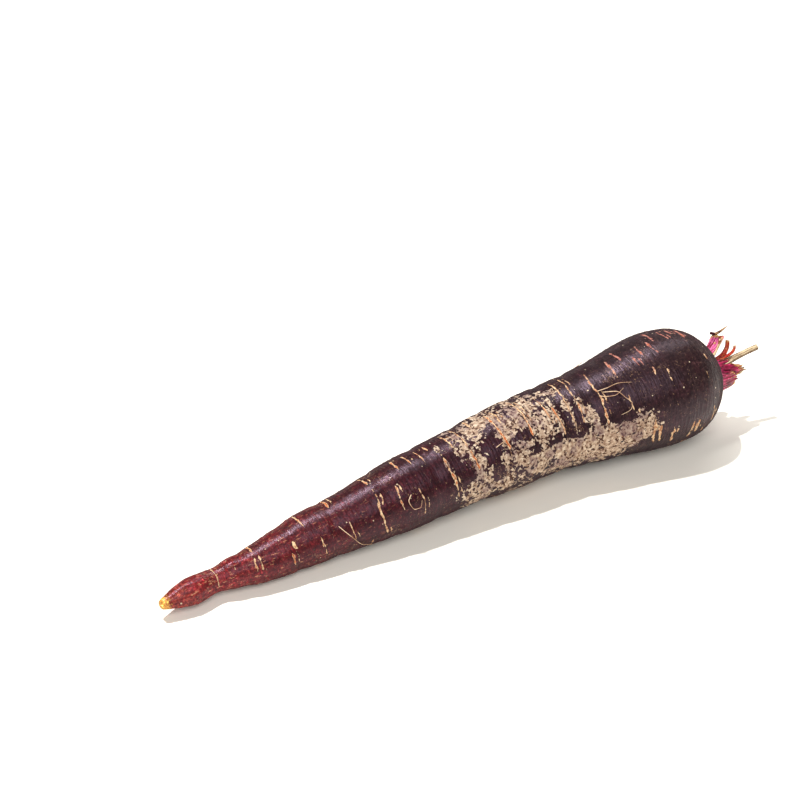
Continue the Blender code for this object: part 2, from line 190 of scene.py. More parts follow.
# The crown stands in its own frame: distance outwards, sideways and up, from the middle of the plate.
GAP = 0.32
SPINE_STEP = 0.05
TUBE_SIDES, STUB_ROWS, STALK_ROWS, HOLLOW_ROWS, STRAND_ROWS = 24, 40, 70, 16, 36
SHEET_COLUMNS, SHEET_ROWS = 70, 34
TEAR_SHARE, TEAR_STEPS = 0.25, 2.3  # how much of a tube's length its torn end takes, and how jagged
STREAK_LENGTH = 12
LEAF_CURL, CURLS_ACROSS, LEAF_ROUNDING, LEAF_NARROWING = 0.25, 3, 0.35, 0.35
LEAF_THINNING, LEAF_LEAST_THICKNESS = 0.75, 0.15  # shares of the thickness
TEARS_ACROSS, FINE_TEARS_ACROSS, SPLITS_ACROSS = 3.1, 14.0, 7.0
FINE_TEAR, SPLIT_DEPTH, SPLIT_LEVEL = 0.9, 5.0, 0.15
VEIN_HEIGHT, VEIN_FADE, VEINS_PER_DEGREE = 0.09, 0.5, 0.62
CRUMPLE, CRUMPLES_ACROSS, CRUMPLES_ALONG = 0.5, 4, 3
STUB_RIBS, STUB_RIB_DEPTH, STUB_TEAR = 5, 0.3, 1.1
STUB_WIDTHS = [(0, 1.0), (0.4, 1.0), (0.6, 0.95), (0.8, 0.88), (1, 0.7)]  # by share of its height
STUB_HOLLOW_FROM = 0.93  # its cut end dips down to here
STUB_LEAN_POWER = 2.5
STALK_RIBS, STALK_RIB_DEPTH, STALK_TEAR = 9, 0.34, 0.9
# The inside of the cut stalk, which this marks, gets a near-black colour: painted shade in its hollow.
HOLLOW = 2.0  # marks the inside of the cut stalk
SCALE_FLATNESS = 0.7
STRAND_OUTWARD = (0.2, 0.3, 1.0)  # only has to differ from the way that a scale or a rootlet runs
ROOTLET_RADIUS, ROOTLET_TIP, ROOTLET_SINK = 0.14, 0.4, 0.25

# Slot, degrees round the crown, radius, half width in degrees, height, lean of the torn edge as (y, z),
# thickness and how uneven the tear is.
LEAF_BASES = {
    "leaf_base_front": ("leaf_base", 112, 8.1, 54, 10.8, (0.8, 1.2), 1.2, 1.5),
    "leaf_base_inner": ("leaf_base", 78, 6.0, 46, 13.4, (-0.4, 0.8), 0.8, 1.8),
    "leaf_base_side": ("leaf_base", 38, 8.0, 12, 6.4, (-0.2, 0.6), 1.0, 0.8),
    "leaf_base_upper": ("pink_leaf_base", 356, 7.9, 22, 9.4, (2.0, 5.2), 1.1, 1.2),
    "leaf_base_back": ("leaf_base", 304, 8.2, 26, 8.6, (2.0, 1.0), 1.1, 1.8),
    "leaf_base_low": ("leaf_base", 232, 8.2, 36, 8.0, (0.6, 0.0), 1.2, 1.8),
    "leaf_base_under": ("leaf_base", 178, 6.2, 32, 8.4, (0.2, 0.8), 1.0, 1.6),
    "leaf_base_far": ("pink_leaf_base", 268, 6.2, 34, 9.6, (0.6, 0.0), 0.9, 1.6),
}
# A dried collar inside them that the CAD part doesn't have: the same values without the slot.
DRY_COLLAR = (86, 5.0, 36, 14.8, (-1.2, 0.8), 0.5, 2.4)
# Slot, degrees round the crown, radius, half width, half depth, height, lean as (y, z).
STUBS = {
    "leaf_stub_red": ("red_stub", 330, 3.5, 1.4, 1.1, 12.8, (1.2, 7.0)),
    "leaf_stub_thin": ("red_stub", 17, 6.3, 0.7, 0.45, 13.4, (1.4, 3.2)),
    "leaf_stub_middle": ("leaf_base", 250, 2.8, 1.6, 1.0, 7.0, (0.4, 0.0)),
    "leaf_stub_back": ("red_stub", 319, 6.1, 1.1, 0.7, 8.6, (1.0, 1.2)),
}
STALK_BEND = [(GAP, -1.6, 1.4), (12.0, -2.4, 5.4), (22.6, -3.4, 7.5)]
STALK_WIDTHS = [(0, 1.9), (0.2, 1.9), (0.4, 1.7), (0.54, 1.4), (0.75, 1.2), (0.93, 1.2), (1, 1.3)]
STALK_DEPTHS = [(0, 1.4), (0.2, 1.3), (0.4, 1.3), (0.54, 1.25), (0.75, 1.15), (0.93, 1.15), (1, 1.2)]
HOLLOW_WIDTHS = [(0.84, 0.3), (0.93, 0.7), (1, 0.85)]  # inside the cut end, by share of its length
HOLLOW_DEPTHS = [(0.84, 0.25), (0.93, 0.6), (1, 0.75)]
# Stops in the crown's own frame, radius, and the tip's share of it.
SCALES = {
    "dry_scale_long": (
        [(6.4, 5.2, 10.6), (8.0, 5.2, 12.6), (10.6, 4.8, 13.8), (14.2, 5.0, 15.2)], 0.9, 0.12),
    "dry_scale_short": ([(5.6, 5.0, 14.2), (6.8, 4.2, 14.0), (8.2, 3.0, 14.4)], 0.8, 0.4),
}
# Distance along, degrees round and height above the skin at each stop.
ROOTLETS = {
    "rootlet_shoulder_long": [(172.8, 30, 0.6), (176, 31, 0.9), (181.3, 31, 1.0), (185.6, 36, 0.7)],
    "rootlet_shoulder_short": [(172.6, 36, 0.6), (175, 40, 0.6), (178, 42, 0.6), (182, 38, 0.6)],
    "rootlet_shoulder_loop": [
        (174.2, 33.5, 0.7), (178.4, 39, 1.5), (181, 49, 1.2), (182.6, 57, 1.0), (181.4, 63, 0.8),
        (177.5, 65, 0.6)],
    "rootlet_shoulder_back": [(176, 302, 0.6), (182, 314, 1.0), (189, 318, 0.9)],
    "rootlet_middle_hook": [
        (90.2, 56, 0.6), (88.6, 64, 0.8), (90, 80, 0.9), (92, 81, 0.8), (93.3, 71, 0.6)],
    "rootlet_middle_short": [(126.2, 46, 0.6), (128.6, 44, 0.8), (131, 42, 0.6)],
    "rootlet_middle_back": [(112, 268, 0.6), (107, 282, 0.9), (104, 300, 0.7)],
    "rootlet_thin_end_fork": [(63.8, 53, 0.6), (66.8, 81, 0.8), (70.2, 108, 0.8), (74.4, 125, 0.6)],
    "rootlet_thin_end_back": [(48, 300, 0.6), (53, 290, 0.8), (58, 284, 0.8)],
}
# Foot, body, streaks and the edge towards its side where that differs.
FLESHY_COLOURS = {
    "leaf_base": (srgb(192, 66, 112), srgb(146, 18, 62), srgb(66, 4, 26)),
    "pink_leaf_base": (
        srgb(180, 34, 92), srgb(216, 98, 152), srgb(132, 12, 46), srgb(208, 176, 136)),
    "red_stub": (srgb(112, 6, 26), srgb(150, 14, 20), srgb(192, 92, 36)),
}
TORN_EDGE = srgb(214, 170, 104), srgb(128, 58, 34)
# Pale and dark streaks, and the far end where that differs.
DRY_COLOURS = {
    "dry_stalk": (srgb(206, 184, 148), srgb(84, 42, 28)),
    "dry_scale": (srgb(64, 6, 18), srgb(30, 4, 10), srgb(150, 112, 76)),
    "rootlet": (srgb(218, 188, 156), srgb(164, 122, 92)),
}
# Painted shade inside the hollow of the cut stalk.
HOLLOW_PAINTED_SHADE = srgb(50, 26, 18)
FLESHY_ROUGHNESS, DRIED_ROUGHNESS, FLESHY_SHINE = 0.42, 0.3, 0.3
DRY_ROUGHNESS, DRY_SHINE = 0.8, 0.2

# The studio, in metres, watts and degrees. A light: place, aim, size, power and the length of a strip.
LIGHTS = {
    "key": ((-0.22, 0.5, 1.6), (0, 0, 0), 0.07, 32.0),
    "softbox": ((0.75, 0.5, 1.1), (0.75, 0, 0), 0.16, 7.0, 1.5),
    "front_fill": ((-0.5, -1.3, 1.4), (0, 0, 0), 1.6, 28.0),
}
SKY_STRENGTH = 0.23
FLOOR_HALF, FLOOR_COLOUR, FLOOR_ROUGHNESS = 6.0, (0.95, 0.9, 0.81), 0.9
CAMERA_AZIMUTH, CAMERA_ELEVATION, CAMERA_AWAY = -32.6, 30, 0.5497
CAMERA_TARGET = (-0.0189, 0.0241, 0.0359)
LENS, SENSOR = 70, 36  # mm


def through(points, x):
    """Height at x of a smooth curve through (x, height) points, which never overshoots them."""
    at, height = np.array(points, float).T
    slopes = np.diff(height) / np.diff(at)
    before, after = slopes[:-1], slopes[1:]
    same_way = before * after > 0
    both = np.where(same_way, before + after, 1.0)
    inner = np.where(same_way, 2 * before * after / both, 0.0)
    tangents = np.concatenate((slopes[:1], inner, slopes[-1:]))
    x = np.clip(x, at[0], at[-1])
    i = np.clip(np.searchsorted(at, x, side="right") - 1, 0, len(slopes) - 1)
    span = at[i + 1] - at[i]
    t = (x - at[i]) / span
    start = (1 + 2 * t) * (1 - t) ** 2 * height[i] + t * (1 - t) ** 2 * span * tangents[i]
    end = t * t * (3 - 2 * t) * height[i + 1] + t * t * (t - 1) * span * tangents[i + 1]
    return start + end


def run_along(points):
    """The length walked from the first point to each point of an outline."""
    steps = [math.dist(a, b) for a, b in zip(points, points[1:])]
    return np.concatenate(([0.0], np.cumsum(steps)))


WALKED = run_along(OUTLINE)
ALONG_BY_WALK = [(w, point[0]) for w, point in zip(WALKED, OUTLINE)]
RADIUS_BY_WALK = [(w, point[1]) for w, point in zip(WALKED, OUTLINE)]
SIDE_OUTLINE = OUTLINE[1 : OUTLINE.index(CROWN_RIM)]


def centre(along):
    return np.stack((along, through(CENTRE_SWAY, along), through(CENTRE_HEIGHT, along)), -1)


def unit(vectors):
    return vectors / np.linalg.norm(vectors, axis=-1, keepdims=True)


def section_frame(along):
    """The centre of the root's section there, and the directions to the crown, sideways and up."""
    low = centre(np.maximum(0.0, along - SLOPE_STEP))
    high = centre(np.minimum(PLATE_AT, along + SLOPE_STEP))
    forward = unit(high - low)
    side = unit(np.cross(forward, (0.0, 0.0, 1.0)))
    return centre(along), forward, side, np.cross(side, forward)


def noise_at(points, seed=0.0):
    """Smooth noise from about -1 to 1 at each of an array of points."""
    flat = np.asarray(points, float).reshape(-1, 3) + seed
    values = np.array([noise.noise(Vector(p)) for p in flat])
    return values.reshape(np.shape(points)[:-1])


def bump_curve(x, width):
    return np.exp(-((x / width) ** 2))


def turned_from(middle, degrees):
    """Degrees away from a middle, the short way round."""
    return (degrees - middle + 180) % 360 - 180


def base_skin(along, radius, angle):
    """The skin as the CAD taproot has it: middles, outward directions and distances out."""
    middle, _, side, up = section_frame(along)
    out = side * np.sin(angle)[..., None] + up * np.cos(angle)[..., None]
    lump = LUMP_HEIGHT * noise_at((middle + out * radius[..., None]) / LUMP_LENGTH)
    away = np.abs(along[..., None] - np.array(RING_FURROWS)).min(-1)
    furrow = FURROW_DEPTH * bump_curve(away, FURROW_WIDTH)
    fade = np.minimum(1.0, radius / LUMPS_FROM_RADIUS)
    return middle, out, radius + (lump - furrow) * fade


def all_scars():
    """The listed scars and the seeded ones of the side that the list leaves out."""
    chance = np.random.default_rng(FAR_SIDE_SEED)
    scars = list(SCARS)
    for at in np.linspace(*FAR_SIDE_ALONG, FAR_SIDE_SCARS):
        middle = chance.uniform(*FAR_SIDE_MIDDLE)
        half = chance.uniform(*FAR_SIDE_HALF)
        jitter = chance.normal(0, FAR_SIDE_JITTER)
        width = chance.uniform(*FAR_SIDE_WIDTH)
        open_share = chance.uniform(*FAR_SIDE_OPEN)
        scars.append((at + jitter, middle - half, middle + half, width, open_share))
    return scars


def scar_fields(along, degrees, straight):
    """How far each point is in the open core of a ring scar, and on the lips beside it."""
    core = np.zeros_like(along)
    lip = np.zeros_like(along)
    wander = noise_at(straight * WANDER_SCALE, seed=7.1)
    wander = wander + FINE_WANDER * noise_at(straight * FINE_WANDER_SCALE, seed=5.1)
    ragged = noise_at(straight * RAGGED_SCALE, seed=3.3)
    for at, start, end, width, open_share in all_scars():
        middle, half = (start + end) / 2, (end - start) / 2
        reach = 1 - (turned_from(middle, degrees) / half) ** 2
        reach = np.clip(reach * SCAR_END_STEEPNESS, 0, 1)
        across = along - at - SCAR_WANDER * wander
        taper = SCAR_END_SHARE + (1 - SCAR_END_SHARE) * reach
        size = SCAR_SHARE * width * taper * (1 + SCAR_RAGGEDNESS * ragged)
        size = np.maximum(size, SCAR_LEAST_SHARE * width)
        lip = np.maximum(lip, np.sqrt(reach) * bump_curve(across, LIP_SHARE * size))
        hairline = np.clip(3 * wander, 0, HAIRLINE_STRENGTH) * reach
        lip = np.maximum(lip, hairline * bump_curve(across - HAIRLINE_AWAY, HAIRLINE_WIDTH))
        core = np.maximum(core, reach * open_share * bump_curve(across, SLIT_SHARE * size))
    return core, lip


def russet_field(along, degrees):
    """High in the russet patches, falling to 0 away from them, and lower again in their windows."""
    field = np.zeros_like(along)
    for sign, spots in ((1, PATCHES + FAR_SIDE_PATCHES), (-1, WINDOWS)):
        for at, middle, half_length, half_turn, strength in spots:
            turned = turned_from(middle, degrees)
            away = ((along - at) / half_length) ** 2 + (turned / half_turn) ** 2
            spot = strength * np.exp(-PATCH_FALL * away)
            field = np.maximum(field, spot) if sign > 0 else field - spot
    return field


def skin_relief(along, straight, core, lip, russet):
    """Height in mm of the scars, the russet flakes, the wrinkles and the fine rings."""
    flaked = russet + FLAKE_RAGGEDNESS * noise_at(straight * FLAKE_SCALE, seed=9.4)
    flaked = np.clip((flaked - FLAKE_LEVEL) * FLAKE_STEEPNESS, 0, 1)
    wrinkle = noise_at(straight * WRINKLE_SCALE, seed=4.2)
    wrinkle = wrinkle * np.clip((WRINKLES_UNTIL - along) / WRINKLES_FADE, 0, 1)
    fine_rings = noise_at(straight * FINE_RING_SCALE, seed=2.7)
    return (LIP_HEIGHT * lip - SLIT_DEPTH * core + RUSSET_HEIGHT * flaked
            + WRINKLE_HEIGHT * wrinkle + FINE_RING_HEIGHT * fine_rings)


def build_root():
    """The fine mesh of the root, with what each point of the skin is in its attributes."""
    walk = np.linspace(0, WALKED[-1], ROWS)
    turns = np.arange(COLUMNS) * 2 * np.pi / COLUMNS
    along, angle = np.meshgrid(through(ALONG_BY_WALK, walk), turns, indexing="ij")
    radius = np.repeat(through(RADIUS_BY_WALK, walk)[:, None], COLUMNS, 1)
    middle, out, reach = base_skin(along, radius, angle)
    straight = np.stack((along, radius * np.sin(angle), radius * np.cos(angle)), -1)
    degrees = np.degrees(angle)
    core, lip = scar_fields(along, degrees, straight)
    russet = russet_field(along, degrees)
    # The relief fades out towards the snapped end and the rim of the crown.
    fade = np.clip((reach - RELIEF_FROM_RADIUS) / RELIEF_RADIUS_FADE, 0, 1)
    fade = fade * np.clip((RELIEF_UNTIL - along) / RELIEF_FADE, 0, 1)
    reach = reach + fade * skin_relief(along, straight, core, lip, russet)
    points = middle + out * reach[..., None]
    points[..., 2] = np.maximum(points[..., 2], 0.0)
    return points, {"straight": straight, "core": core, "lip": lip, "russet": russet}


def grid_mesh(name, points):
    """A closed mesh from rings of points whose first and last rings are single points."""
    rows, columns, _ = points.shape
    inner = points[1:-1].reshape(-1, 3)
    vertices = np.concatenate((points[:1, 0], inner, points[-1:, 0]))
    ring = np.arange(columns)
    following = (ring + 1) % columns
    faces = [(0, 1 + following[j], 1 + j) for j in ring]
    for i in range(rows - 3):
        low = 1 + i * columns
        high = low + columns
        faces += [(low + j, low + following[j], high + following[j], high + j) for j in ring]
    top = len(vertices) - 1
    last = top - columns
    faces += [(last + j, last + following[j], top) for j in ring]
    mesh = bpy.data.meshes.new(name)
    mesh.from_pydata(vertices, [], faces)
    mesh.shade_smooth()
    return mesh


def spread(values):
    """The values of grid points in the vertex order of grid_mesh."""
    return np.concatenate((values[:1, 0], values[1:-1].reshape(-1, *values.shape[2:]), values[-1:, 0]))


def add_root():
    """The skin of the root, centred on the CAD taproot's box, and the shift in mm that took it there."""
    points, fields = build_root()
    low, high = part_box("taproot")
    flat = points.reshape(-1, 3)
    shift = ((np.array(low) + np.array(high)) / MM - flat.min(0) - flat.max(0)) / 2
    shift[2] = 0.0
    mesh = grid_mesh("root_skin", (points + shift) * MM)
    for name, values in fields.items():
        add_attribute(mesh, name, spread(values))
    return add_piece("root_skin", mesh, "taproot"), shift


def smooth_route(stops):
    """A smooth curve through a few stops, as a function of the share of its length."""
    walked = run_along(stops)
    axes = [[(w, stop[axis]) for w, stop in zip(walked, stops)] for axis in range(3)]
    return lambda share: np.stack([through(axis, share * walked[-1]) for axis in axes], -1)


def rings_along(spine, shares, half_widths, half_depths, outward, ribs=0, rib_depth=0.0, tear=0.0):
    """Rings of points round a spine, with ribs along it and a torn far end, closed at both ends."""
    shares = np.asarray(shares, float)
    ahead = np.minimum(1.0, shares + SPINE_STEP)
    behind = np.maximum(0.0, shares - SPINE_STEP)
    forward = unit(spine(ahead) - spine(behind))
    sideways = unit(np.cross(forward, outward))
    deep = np.cross(sideways, forward)
    angle = np.arange(TUBE_SIDES) * 2 * np.pi / TUBE_SIDES
    ribbed = 1 - rib_depth * (0.5 + 0.5 * np.cos(ribs * angle))
    round_edge = np.stack((np.cos(angle), np.sin(angle), angle * 0), -1)
    jag = noise_at(round_edge * TEAR_STEPS, seed=1.7)
    torn = tear * jag * np.clip(1 - (1 - shares[:, None]) / TEAR_SHARE, 0, 1)
    rings = (
        spine(shares)[:, None]
        + (half_widths[:, None] * ribbed * np.cos(angle))[..., None] * sideways[:, None]
        + (half_depths[:, None] * ribbed * np.sin(angle))[..., None] * deep[:, None]
        + torn[..., None] * forward[:, None]
    )
    around = np.broadcast_to(angle * half_widths.max(), torn.shape)
    grown = np.broadcast_to(shares[:, None], torn.shape)
    strand = np.stack((around, grown * STREAK_LENGTH, around * 0 + ribs), -1)
    ends = [0, *range(len(shares)), len(shares) - 1]
    closed = rings[ends]
    closed[0] = rings[0].mean(0)
    closed[-1] = rings[-1].mean(0)
    return closed, {"strand": strand[ends], "grown": grown[ends]}


def add_attribute(mesh, name, values):
    vector = values.ndim == 2
    layer = mesh.attributes.new(name, "FLOAT_VECTOR" if vector else "FLOAT", "POINT")
    layer.data.foreach_set("vector" if vector else "value", values.astype(np.float32).ravel())


def add_piece(name, mesh, replaced):
    piece = bpy.data.objects.new(name, mesh)
    bpy.context.scene.collection.objects.link(piece)
    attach(piece, "root")
    if replaced:
        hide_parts(replaced)
    return piece


def add_tube(name, points, fields, to_world, replaced):
    mesh = grid_mesh(name, to_world(points))
    for field, values in fields.items():
        add_attribute(mesh, field, spread(values))
    return add_piece(name, mesh, replaced)


def crown_to_world(shift):
    """Turns points in the crown's own frame, in mm, into places in the scene."""
    middle, forward, side, up = section_frame(np.array(PLATE_AT))
    axes = np.stack((forward, -side, up))
    return lambda points: (middle + points @ axes + shift) * MM


def crown_point(out, radius, degrees):
    """A point in the crown's own frame: 0 degrees is up, 90 degrees is on the -Y side."""
    angle = np.radians(degrees)
    return np.stack(np.broadcast_arrays(out, -radius * np.sin(angle), radius * np.cos(angle)), -1)


def sheet_mesh(name, points):
    """An open mesh from rows of points."""
    rows, columns, _ = points.shape
    faces = []
    for i in range(rows - 1):
        low, high = i * columns, (i + 1) * columns
        faces += [(low + j, low + j + 1, high + j + 1, high + j) for j in range(columns - 1)]
    mesh = bpy.data.meshes.new(name)
    mesh.from_pydata(points.reshape(-1, 3), [], faces)
    mesh.shade_smooth()
    return mesh


def thicken(piece, heights, thickness):
    """Gives a sheet its thickness in mm, which gets thinner towards its torn edge."""
    group = piece.vertex_groups.new(name="thickness")
    for index, height in enumerate(heights):
        group.add([index], 1 - LEAF_THINNING * height, "REPLACE")
    solid = piece.modifiers.new("solid", "SOLIDIFY")
    solid.thickness = thickness * MM
    solid.offset = 0
    solid.vertex_group = group.name
    solid.thickness_vertex_group = LEAF_LEAST_THICKNESS


def torn_top(across, at, radius, height, tear):
    """The height of a leaf base at each place across it, up to its torn and split edge."""
    still = across * 0
    ragged = noise_at(np.stack((across * TEARS_ACROSS, still + at, still + radius), -1))
    fine = noise_at(np.stack((across * FINE_TEARS_ACROSS, still + at, still), -1), seed=2.2)
    split = noise_at(np.stack((across * SPLITS_ACROSS, still, still + at), -1), seed=6.1)
    split = np.clip(split - SPLIT_LEVEL, 0, 1)
    rounded = height * (1 - LEAF_ROUNDING * across * across)
    return rounded + tear * ragged + FINE_TEAR * fine - SPLIT_DEPTH * split


def add_leaf_base(name, to_world, slot, replaced, at, radius, half_width, height, shift, thickness, tear):
    """A clasping leaf base, as in the CAD part, with veins along it and a finely torn edge."""
    u, v = np.meshgrid(np.linspace(-1, 1, SHEET_COLUMNS), np.linspace(0, 1, SHEET_ROWS))
    top = torn_top(u[0], at, radius, height, tear)
    veins = VEIN_HEIGHT * np.cos(u * half_width * VEINS_PER_DEGREE) * (1 - VEIN_FADE * v)
    folds = np.stack((u * CRUMPLES_ACROSS, v * CRUMPLES_ALONG, u * 0 + at), -1)
    crumpled = CRUMPLE * noise_at(folds) * v
    wave = LEAF_CURL * np.sin(CURLS_ACROSS * u + at) + veins + crumpled
    turned = at + half_width * (1 - LEAF_NARROWING * v) * u
    points = crown_point(GAP + v * top, radius + wave, turned)
    points = points + np.array((0, *shift)) * (v * v)[..., None]
    mesh = sheet_mesh(name, to_world(points))
    around = u * np.radians(half_width) * radius
    add_attribute(mesh, "strand", np.stack((around, v * height, around * 0 + at), -1).reshape(-1, 3))
    add_attribute(mesh, "grown", v.ravel())
    add_attribute(mesh, "across", u.ravel())
    piece = add_piece(name, mesh, replaced)
    thicken(piece, v.ravel(), thickness)
    return piece


def add_stub(name, to_world, slot, replaced, at, radius, half_width, half_depth, height, shift):
    """The ribbed stub of a fleshy leaf stalk, with a torn end that dips in the middle."""

    def spine(share):
        foot = crown_point(GAP + height * (1 - (1 - share) ** 2), radius, at)
        return foot + np.array((0, *shift)) * (share**STUB_LEAN_POWER)[:, None]

    shares = np.linspace(0, 1, STUB_ROWS)
    wide = through(STUB_WIDTHS, shares)
    points, fields = rings_along(spine, shares, half_width * wide, half_depth * wide,
                                 crown_point(0, 1, at), STUB_RIBS, STUB_RIB_DEPTH, STUB_TEAR)
    points[-1] -= (spine(np.array([1.0])) - spine(np.array([STUB_HOLLOW_FROM])))[0]
    return add_tube(name, points, fields, to_world, replaced)


def add_dry_stalk(to_world):
    """The dried leaf stalk: a flared foot, a ribbed stalk and a hollow cut end."""
    base, bend, tip = np.array(STALK_BEND)

    def spine(share):
        share = share[:, None]
        return base * (1 - share) ** 2 + 2 * bend * share * (1 - share) + tip * share**2

    out = np.linspace(0, 1, STALK_ROWS)
    back = np.linspace(1, HOLLOW_WIDTHS[0][0], HOLLOW_ROWS)[1:]
    shares = np.concatenate((out, back))
    widths = np.concatenate((through(STALK_WIDTHS, out), through(HOLLOW_WIDTHS, back)))
    depths = np.concatenate((through(STALK_DEPTHS, out), through(HOLLOW_DEPTHS, back)))
    points, fields = rings_along(spine, shares, widths, depths, (0, 0, 1),
                                 STALK_RIBS, STALK_RIB_DEPTH, STALK_TEAR)
    fields["grown"][-len(back) - 1 :] = HOLLOW
    return add_tube("dry_stalk_fibres", points, fields, to_world, "dry_stalk")


def add_strand(name, spine, radius, tip_share, to_world, replaced, flatness=1.0):
    """A thin piece that tapers along its spine: a dried scale or a rootlet."""
    shares = np.linspace(0, 1, STRAND_ROWS)
    size = radius * (1 - (1 - tip_share) * shares**2)
    points, fields = rings_along(spine, shares, size, size * flatness, STRAND_OUTWARD)
    return add_tube(name, points, fields, to_world, replaced)


def over_skin(along, degrees, height):
    """A point that far above the skin of the CAD taproot."""
    along, degrees = np.array([along], float), np.array([degrees], float)
    radius = through(SIDE_OUTLINE, along)
    middle, out, reach = base_skin(along, radius + height, np.radians(degrees))
    return (middle + out * reach[..., None])[0]


def add_crown(shift):
    to_world = crown_to_world(shift)
    looks = {name: leaf_material(name, *colours) for name, colours in FLESHY_COLOURS.items()}
    for name in ("dry_stalk", "dry_scale"):
        looks[name] = dry_material(name, *DRY_COLOURS[name])
    for name, (slot, *sizes) in LEAF_BASES.items():
        piece = add_leaf_base(f"{name}_blade", to_world, slot, name, *sizes)
        piece.data.materials.append(looks[slot])
    collar = add_leaf_base("dry_collar", to_world, "dry_stalk", None, *DRY_COLLAR)
    collar.data.materials.append(looks["dry_stalk"])
    for name, (slot, *sizes) in STUBS.items():
        stub = add_stub(f"{name}_flesh", to_world, slot, name, *sizes)
        stub.data.materials.append(looks[slot])
    add_dry_stalk(to_world).data.materials.append(looks["dry_stalk"])
    for name, (stops, radius, tip_share) in SCALES.items():
        piece = add_strand(f"{name}_husk", smooth_route(stops), radius, tip_share, to_world,
                           name, SCALE_FLATNESS)
        piece.data.materials.append(looks["dry_scale"])


def add_rootlets(shift):
    hair = dry_material("rootlet", *DRY_COLOURS["rootlet"])

    def to_world(points):
        return (points + shift) * MM

    for name, stops in ROOTLETS.items():
        spine = smooth_route([over_skin(at, turn, height - ROOTLET_SINK) for at, turn, height in stops])
        piece = add_strand(f"{name}_hair", spine, ROOTLET_RADIUS, ROOTLET_TIP, to_world, name)
        piece.data.materials.append(hair)


class Nodes:
    """A node material that is written from top to bottom."""

    def __init__(self, name):
        self.material = bpy.data.materials.new(name)
        self.material.use_nodes = True
        self.tree = self.material.node_tree
        self.shader = self.tree.nodes["Principled BSDF"]

    def node(self, kind, inputs=(), **settings):
        made = self.tree.nodes.new(kind)
        for key, value in settings.items():
            setattr(made, key, value)
        for key, value in dict(inputs).items():
            self.feed(made.inputs[key], value)
        return made

    def feed(self, socket, value):
        if isinstance(value, bpy.types.NodeSocket):
            self.tree.links.new(value, socket)
        elif socket.type == "RGBA":
            socket.default_value = (*value, 1)
        else:
            socket.default_value = value

    def set(self, **values):
        for key, value in values.items():
            self.feed(self.shader.inputs[key.replace("_", " ")], value)

    def attribute(self, name, output="Fac"):
        return self.node("ShaderNodeAttribute", attribute_name=name).outputs[output]

    def stretched(self, vector, scale):
        return self.node("ShaderNodeMapping", {"Vector": vector, "Scale": scale}).outputs[0]

    def noise(self, vector, scale=1.0, detail=4.0, roughness=0.55, distortion=0.0):
        """Noise from 0 to 1, mostly near a half. The scale is about how many blotches fit in a mm."""
        inputs = {"Vector": vector, "Scale": scale, "Detail": detail, "Roughness": roughness}
        inputs["Distortion"] = distortion
        return self.node("ShaderNodeTexNoise", inputs).outputs["Fac"]

    def math(self, operation, a, b):
        return self.node("ShaderNodeMath", {0: a, 1: b}, operation=operation).outputs[0]

    def times(self, a, b):
        return self.math("MULTIPLY", a, b)

    def plus(self, a, b):
        return self.math("ADD", a, b)

    def step(self, value, low, high):
        """0 below low, 1 above high, and smooth between them. With low above high it falls instead."""
        inputs = {"Value": value, "From Min": low, "From Max": high}
        return self.node("ShaderNodeMapRange", inputs, interpolation_type="SMOOTHSTEP").outputs[0]

    def wobble(self, vector, scale, gain, detail=4.0, roughness=0.55):
        """Noise about zero: most of it lies within a sixth of the gain."""
        level = self.noise(vector, scale, detail, roughness)
        return self.times(self.math("SUBTRACT", level, 0.5), gain)

    def fibres(self, vector, turn, rarity):
        """Hair-like streaks in one direction."""
        inputs = {"Vector": vector, "Rotation": turn, "Scale": (1.5, 1.5, 0.1)}
        drawn = self.node("ShaderNodeMapping", inputs).outputs[0]
        level = self.noise(drawn, detail=2, roughness=0.5, distortion=0.3)
        return self.step(level, rarity, rarity + 0.03)

    def tinted(self, colour, factors, share=1.0):
        """The colour with its red, green and blue multiplied, as far as the share says."""
        return self.mix(share, colour, factors, "MULTIPLY")

    def ramp(self, value, stops):
        """Colours along a value: stops are (value, colour)."""
        made = self.node("ShaderNodeValToRGB", {0: value})
        elements = made.color_ramp.elements
        while len(elements) < len(stops):
            elements.new(0.5)
        for element, (place, colour) in zip(elements, stops):
            element.position = place
            element.color = (*colour, 1)
        return made.outputs[0]

    def mix(self, share, a, b, blend="MIX"):
        made = self.node("ShaderNodeMix", data_type="RGBA", blend_type=blend, clamp_factor=True)
        self.feed(made.inputs[0], share)
        self.feed(made.inputs[6], a)
        self.feed(made.inputs[7], b)
        return made.outputs[2]

    def bump(self, height, distance, strength):
        inputs = {"Height": height, "Distance": distance * MM, "Strength": strength}
        return self.node("ShaderNodeBump", inputs).outputs[0]


def bare_skin(skin, place, along, grain, mottle, lines):
    """The skin itself, from the yellow snapped end through crimson to almost black."""
    wandered = skin.plus(along, skin.wobble(place, 0.09, gain=70.0))
    tone = skin.ramp(skin.math("DIVIDE", wandered, ROOT_LENGTH), SKIN_TONES)
    reddish = skin.step(skin.noise(place, 0.16, detail=3), 0.46, 0.62)
    tone = skin.tinted(tone, (1.25, 1.0, 1.1), reddish)
    flesh = skin.step(skin.plus(along, skin.wobble(place, 0.9, gain=7.0, detail=3)), *FLESH_SHOWS)
    tone = skin.mix(flesh, tone, YELLOW_FLESH)
    tone = skin.tinted(tone, (0.5, 0.45, 0.45), skin.step(mottle, 0.5, 0.68))
    tone = skin.tinted(tone, (2.6, 3.0, 2.8), skin.step(grain, 0.52, 0.64))
    tone = skin.tinted(tone, (0.4, 0.3, 0.4), skin.step(grain, 0.48, 0.38))
    return skin.tinted(tone, (2.2, 2.4, 2.4), skin.step(lines, 0.57, 0.72))


